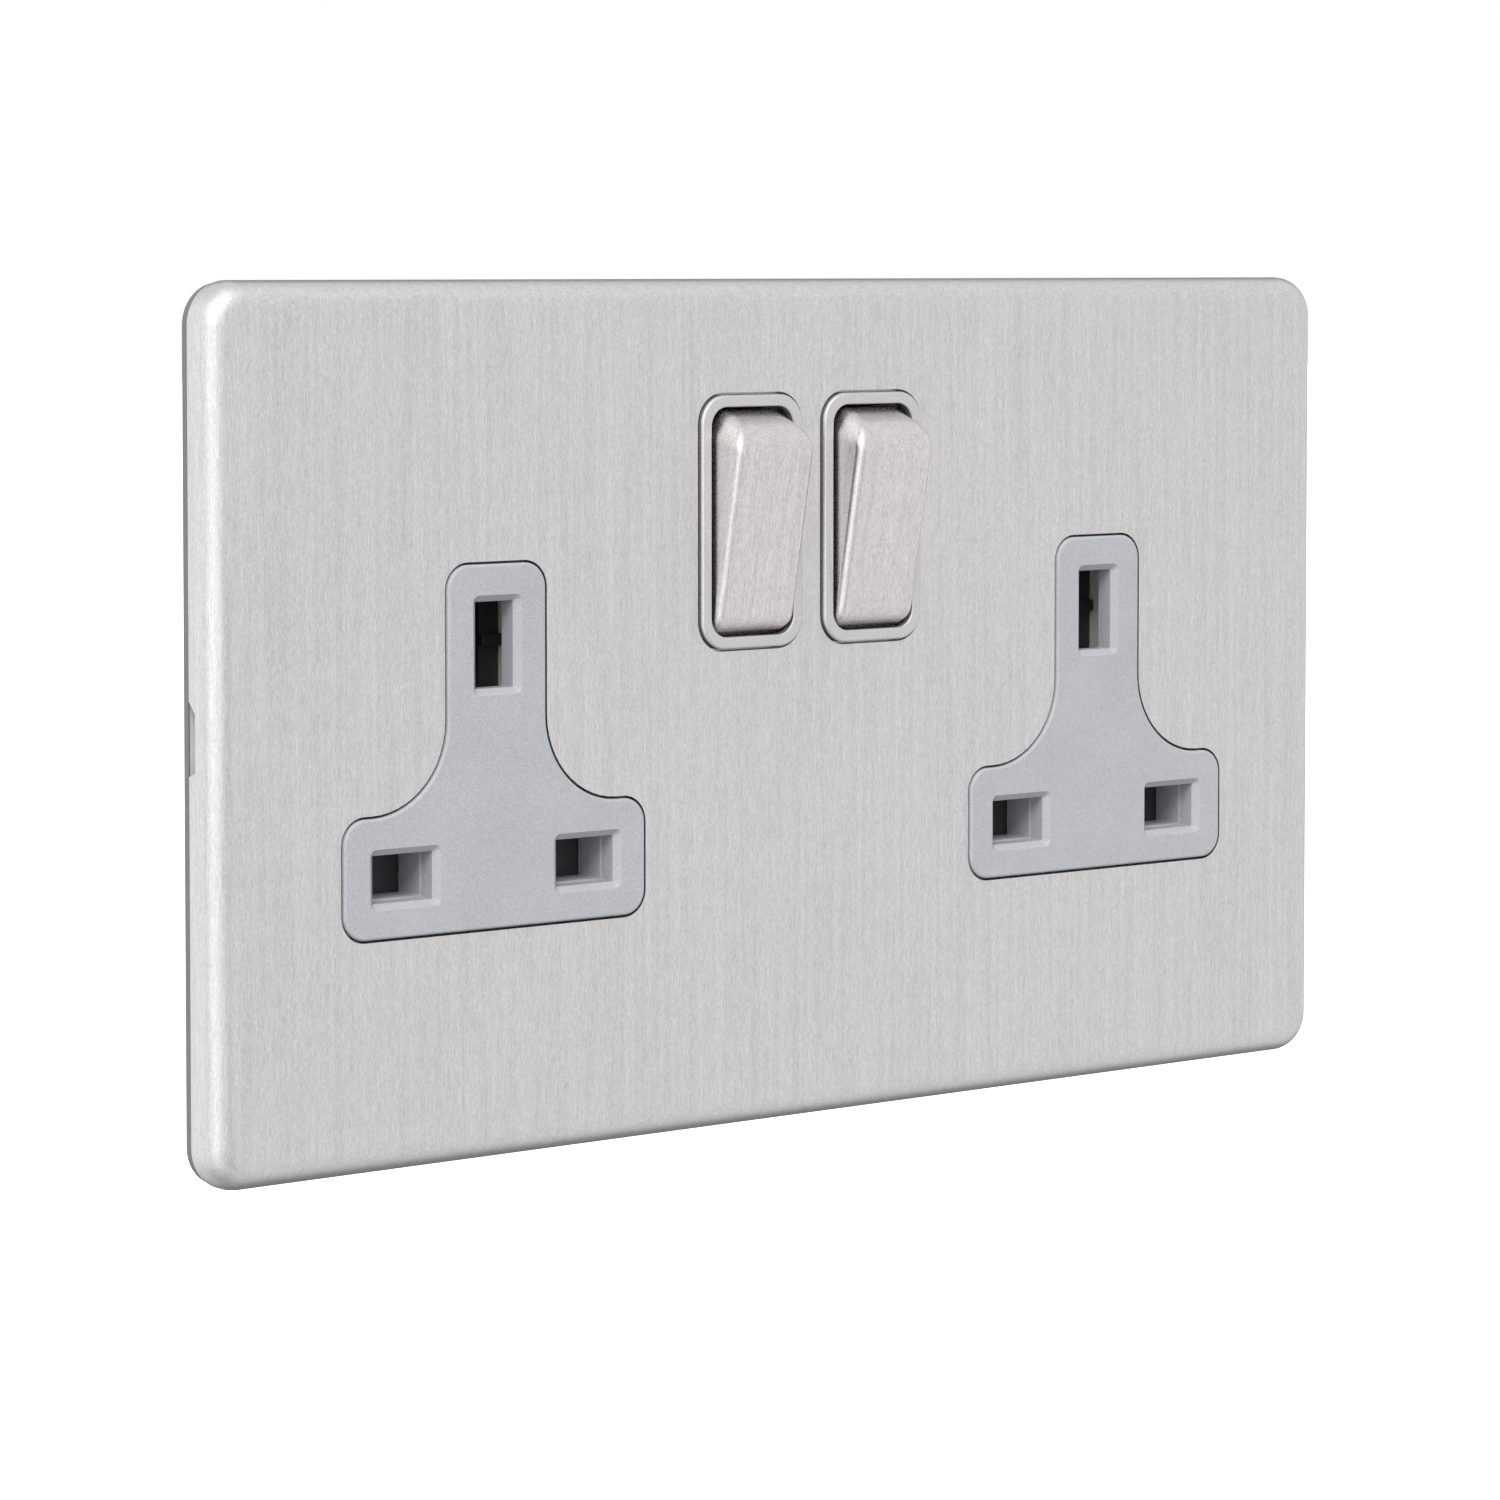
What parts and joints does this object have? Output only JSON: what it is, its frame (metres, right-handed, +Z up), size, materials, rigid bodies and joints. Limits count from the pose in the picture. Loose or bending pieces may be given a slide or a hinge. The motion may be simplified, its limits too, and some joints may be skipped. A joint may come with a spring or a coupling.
{
  "type": "twin switched socket outlet",
  "caption": "Wall-mounted twin switched socket outlet with a clip-on brushed metal plate, grey shuttered pin faces and metal rocker switches, on a pressed frame for a wall box.",
  "frame": {"origin": "centre of the two box screw holes on the wall plane, which is the back of the mounting frame", "axes": "+X to the right along the plate, +Y into the wall, +Z up"},
  "size_m": [0.1474, 0.0334, 0.087],
  "materials": {
    "plate_metal": "fine vertical brushing",
    "rocker_metal": "fine lengthwise brushing",
    "frame_metal": "zinc plated",
    "insert_plastic": "fine matte texture",
    "bezel_plastic": "satin",
    "housing_plastic": "moulded satin",
    "dark_plastic": "matte",
    "shutter_plastic": "matte",
    "contact_brass": "bright stamped",
    "spring_metal": "drawn wire",
    "screw_metal": "zinc plated"
  },
  "bodies": {
    "socket_body": {"mounting_frame": "frame_metal", "front_housing": "housing_plastic", "rear_housing": "housing_plastic", "socket_insert_left": "insert_plastic", "socket_insert_right": "insert_plastic", "rocker_bezel_left": "bezel_plastic", "rocker_bezel_right": "bezel_plastic", "neutral_busbar": "contact_brass", "earth_busbar": "contact_brass", "live_contact_left": "contact_brass", "live_contact_right": "contact_brass", "live_feed_bar": "contact_brass", "live_terminal": "contact_brass", "neutral_terminal": "contact_brass", "earth_terminal_left": "contact_brass", "earth_terminal_right": "contact_brass", "terminal_screws": "screw_metal", "housing_screws": "screw_metal", "shutter_spring_left": "spring_metal", "shutter_spring_right": "spring_metal"},
    "front_cover": {"front_plate": "plate_metal", "plate_liner": "dark_plastic"},
    "rocker_left": {"rocker_cap_left": "rocker_metal", "rocker_body_left": "dark_plastic", "rocker_spring_left": "spring_metal"},
    "plunger_left": {"plunger_left": "housing_plastic"},
    "see_saw_left": {"moving_contact_left": "contact_brass"},
    "shutter_left": {"shutter_left": "shutter_plastic"},
    "rocker_right": {"rocker_cap_right": "rocker_metal", "rocker_body_right": "dark_plastic", "rocker_spring_right": "spring_metal"},
    "plunger_right": {"plunger_right": "housing_plastic"},
    "see_saw_right": {"moving_contact_right": "contact_brass"},
    "shutter_right": {"shutter_right": "shutter_plastic"}
  },
  "joints": [
    {"name": "cover_unclip", "type": "slide", "parent": "socket_body", "child": "front_cover", "axis": [0, -1, 0], "range_m": [0, 0.02]},
    {"name": "rocker_left_tilt", "type": "hinge", "parent": "socket_body", "child": "rocker_left", "pos_m": [-0.00805, -0.0006, 0.01875], "axis": [1, 0, 0], "range_deg": [-22, 0]},
    {"name": "plunger_left_push", "type": "slide", "parent": "rocker_left", "child": "plunger_left", "axis": [0, -0.9816, -0.1908], "range_m": [0, 0.001], "stiffness_N_per_m": 300, "springref_m": -0.002, "deforming": ["rocker_spring_left"]},
    {"name": "see_saw_left_tilt", "type": "hinge", "parent": "socket_body", "child": "see_saw_left", "pos_m": [-0.00805, 0.0099, 0.01875], "axis": [1, 0, 0], "range_deg": [0, 16]},
    {"name": "shutter_left_slide", "type": "slide", "parent": "socket_body", "child": "shutter_left", "axis": [0, 0, -1], "range_m": [0, 0.0056], "stiffness_N_per_m": 150, "springref_m": -0.003, "deforming": ["shutter_spring_left"]},
    {"name": "rocker_right_tilt", "type": "hinge", "parent": "socket_body", "child": "rocker_right", "pos_m": [0.00805, -0.0006, 0.01875], "axis": [1, 0, 0], "range_deg": [-22, 0]},
    {"name": "plunger_right_push", "type": "slide", "parent": "rocker_right", "child": "plunger_right", "axis": [0, -0.9816, -0.1908], "range_m": [0, 0.001], "stiffness_N_per_m": 300, "springref_m": -0.002, "deforming": ["rocker_spring_right"]},
    {"name": "see_saw_right_tilt", "type": "hinge", "parent": "socket_body", "child": "see_saw_right", "pos_m": [0.00805, 0.0099, 0.01875], "axis": [1, 0, 0], "range_deg": [0, 16]},
    {"name": "shutter_right_slide", "type": "slide", "parent": "socket_body", "child": "shutter_right", "axis": [0, 0, -1], "range_m": [0, 0.0056], "stiffness_N_per_m": 150, "springref_m": -0.003, "deforming": ["shutter_spring_right"]}
  ],
  "couplings": [
    {"joint": "see_saw_left_tilt", "follows": "rocker_left_tilt", "ratio": -0.72727},
    {"joint": "see_saw_right_tilt", "follows": "rocker_right_tilt", "ratio": -0.72727}
  ]
}
